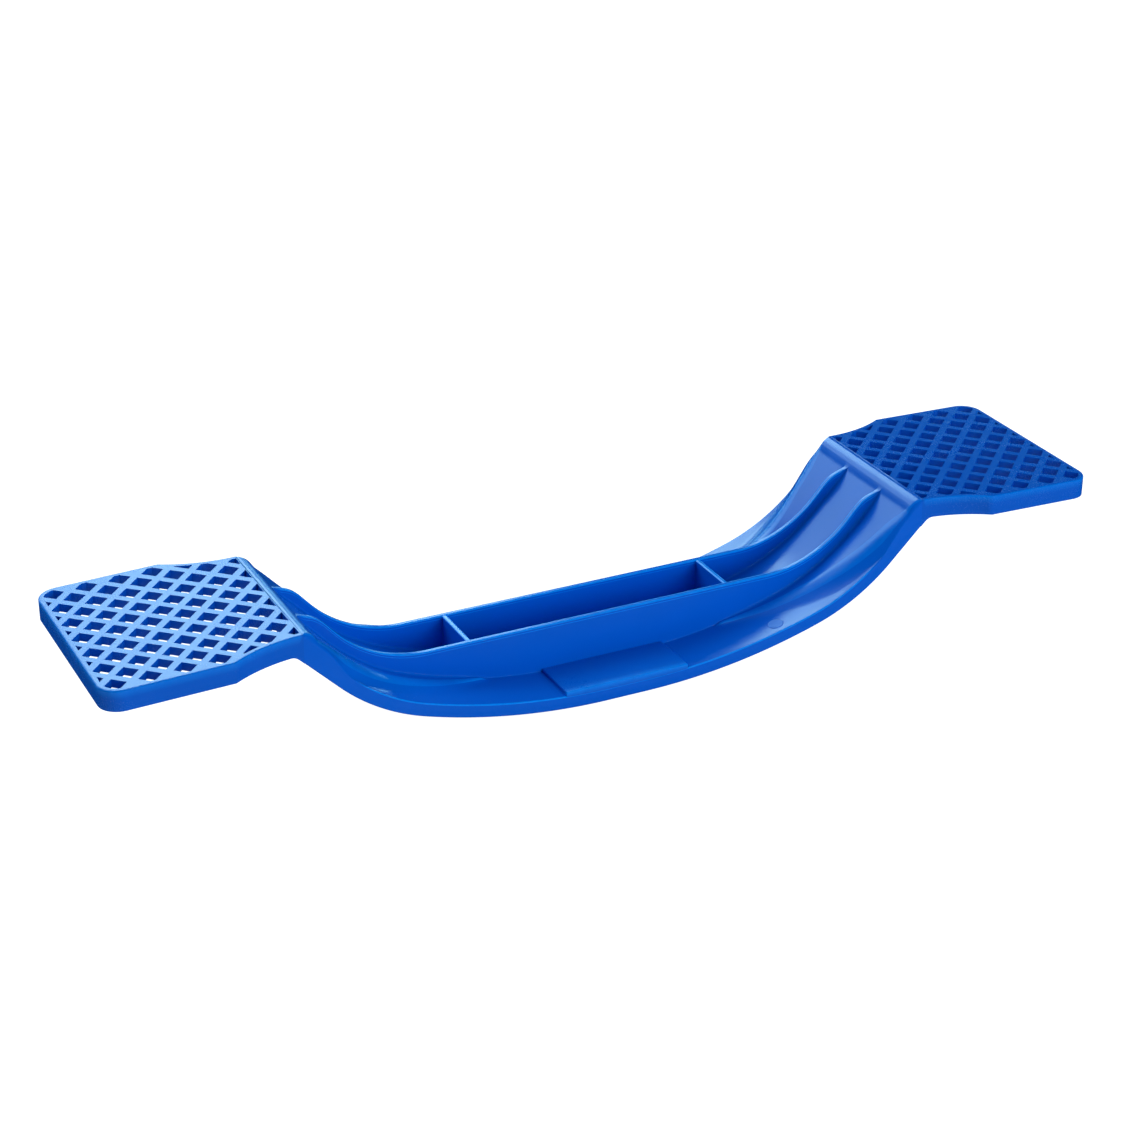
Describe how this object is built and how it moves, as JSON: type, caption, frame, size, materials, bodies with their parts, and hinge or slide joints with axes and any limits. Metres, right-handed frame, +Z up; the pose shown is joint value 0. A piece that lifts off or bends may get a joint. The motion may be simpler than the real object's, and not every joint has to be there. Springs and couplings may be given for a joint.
{
  "type": "rocking balance board",
  "caption": "One-piece plastic rocking balance board: two lattice footplates on a ribbed beam that sags to a curved belly it rocks on.",
  "frame": {"origin": "on the floor, under the middle of the board", "axes": "+X along the board towards its right footplate, +Y across it to the rear, +Z up"},
  "size_m": [0.76, 0.16, 0.1041],
  "materials": {
    "blue_plastic": "satin moulded plastic, coloured right through"
  },
  "bodies": {
    "root": {"front_pad": "blue_plastic", "left_channel_floor": "blue_plastic", "left_collar": "blue_plastic", "left_cross_wall": "blue_plastic", "left_front_band": "blue_plastic", "left_front_deck": "blue_plastic", "left_front_flange": "blue_plastic", "left_front_rib": "blue_plastic", "left_front_step": "blue_plastic", "left_lattice": "blue_plastic", "left_rear_band": "blue_plastic", "left_rear_deck": "blue_plastic", "left_rear_flange": "blue_plastic", "left_rear_rib": "blue_plastic", "left_rear_step": "blue_plastic", "left_rim_end": "blue_plastic", "left_rim_front": "blue_plastic", "left_rim_rear": "blue_plastic", "middle_channel_floor": "blue_plastic", "middle_front_band": "blue_plastic", "middle_front_flange": "blue_plastic", "middle_front_rib": "blue_plastic", "middle_rear_band": "blue_plastic", "middle_rear_flange": "blue_plastic", "middle_rear_rib": "blue_plastic", "rear_pad": "blue_plastic", "right_channel_floor": "blue_plastic", "right_collar": "blue_plastic", "right_cross_wall": "blue_plastic", "right_front_band": "blue_plastic", "right_front_deck": "blue_plastic", "right_front_flange": "blue_plastic", "right_front_rib": "blue_plastic", "right_front_step": "blue_plastic", "right_lattice": "blue_plastic", "right_rear_band": "blue_plastic", "right_rear_deck": "blue_plastic", "right_rear_flange": "blue_plastic", "right_rear_rib": "blue_plastic", "right_rear_step": "blue_plastic", "right_rim_end": "blue_plastic", "right_rim_front": "blue_plastic", "right_rim_rear": "blue_plastic"}
  },
  "joints": []
}
